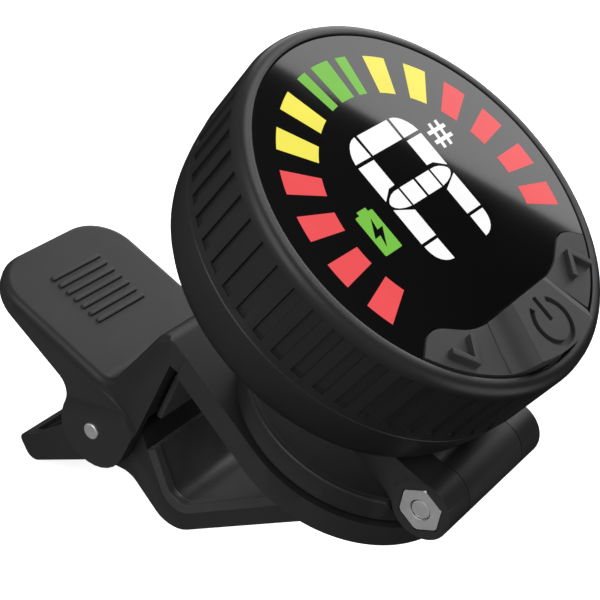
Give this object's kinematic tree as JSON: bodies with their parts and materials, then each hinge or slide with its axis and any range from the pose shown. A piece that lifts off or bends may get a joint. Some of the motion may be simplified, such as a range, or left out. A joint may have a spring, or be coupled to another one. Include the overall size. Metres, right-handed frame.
{
  "type": "clip-on tuner",
  "caption": "Clip-on instrument tuner: round display head with keys, on a tilt hinge and swivel disc over a sprung rubber-lined clip.",
  "frame": {"origin": "on the swivel axis, at the grip face of the upper pad, where the clip sits on the instrument", "axes": "+Z along the swivel axis, away from the instrument; +X along the hinge barrel and the clip's pin; +Y towards the thumb lever"},
  "size_m": [0.039, 0.0551, 0.0611],
  "materials": {
    "clip_plastic": "fine moulded grain",
    "case_plastic": "fine moulded grain",
    "grip_rubber": "matte",
    "key_rubber": "satin",
    "lens": "high gloss, smoked",
    "steel": "bright",
    "spring_steel": "drawn wire",
    "display_glass": "gloss",
    "light_guide": "white",
    "board": "solder mask",
    "foil": "foil",
    "foam": "foam",
    "sensor_brass": "bright"
  },
  "bodies": {
    "clip": {"upper_jaw": "clip_plastic", "upper_pad": "grip_rubber", "pivot_pin": "steel", "spring_upper_leg": "spring_steel"},
    "jaw": {"lower_jaw": "clip_plastic", "lower_pad": "grip_rubber", "spring_coil": "spring_steel"},
    "swivel": {"swivel_disc": "clip_plastic", "swivel_retainer": "spring_steel", "swivel_screw": "steel"},
    "head": {"rear_cover": "case_plastic", "front_casing": "case_plastic", "display_lens": "lens", "display_panel": "display_glass", "light_guide": "light_guide", "main_board": "board", "battery_cell": "foil", "battery_pad": "foam", "charge_port": "steel", "piezo_sensor": "sensor_brass", "switch_dome_down": "steel", "switch_dome_power": "steel", "switch_dome_up": "steel", "case_screw_1": "steel", "case_screw_2": "steel", "case_screw_3": "steel", "hinge_screw": "steel", "hinge_nut": "steel"},
    "key_down": {"button_down": "key_rubber"},
    "key_power": {"button_power": "key_rubber"},
    "key_up": {"button_up": "key_rubber"}
  },
  "joints": [
    {"name": "jaw_pivot", "type": "hinge", "parent": "clip", "child": "jaw", "pos_m": [0, 0.0213, -0.0146], "axis": [1, 0, 0], "range_deg": [0, 35], "stiffness_Nm_per_rad": 0.12, "springref_deg": -34.38},
    {"name": "swivel_turn", "type": "hinge", "parent": "clip", "child": "swivel", "pos_m": [0, 0, 0.0045], "axis": [0, 0, 1], "continuous": true},
    {"name": "head_tilt", "type": "hinge", "parent": "swivel", "child": "head", "pos_m": [0, -0.0116, 0.0083], "axis": [1, 0, 0], "range_deg": [0, 95]},
    {"name": "press_down", "type": "slide", "parent": "head", "child": "key_down", "axis": [0, 0.2284, -0.9736], "range_m": [0, 0.00035], "stiffness_N_per_m": 1500, "springref_m": -0.0002},
    {"name": "press_power", "type": "slide", "parent": "head", "child": "key_power", "axis": [0, 0.2284, -0.9736], "range_m": [0, 0.00035], "stiffness_N_per_m": 1500, "springref_m": -0.0002},
    {"name": "press_up", "type": "slide", "parent": "head", "child": "key_up", "axis": [0, 0.2284, -0.9736], "range_m": [0, 0.00035], "stiffness_N_per_m": 1500, "springref_m": -0.0002}
  ]
}
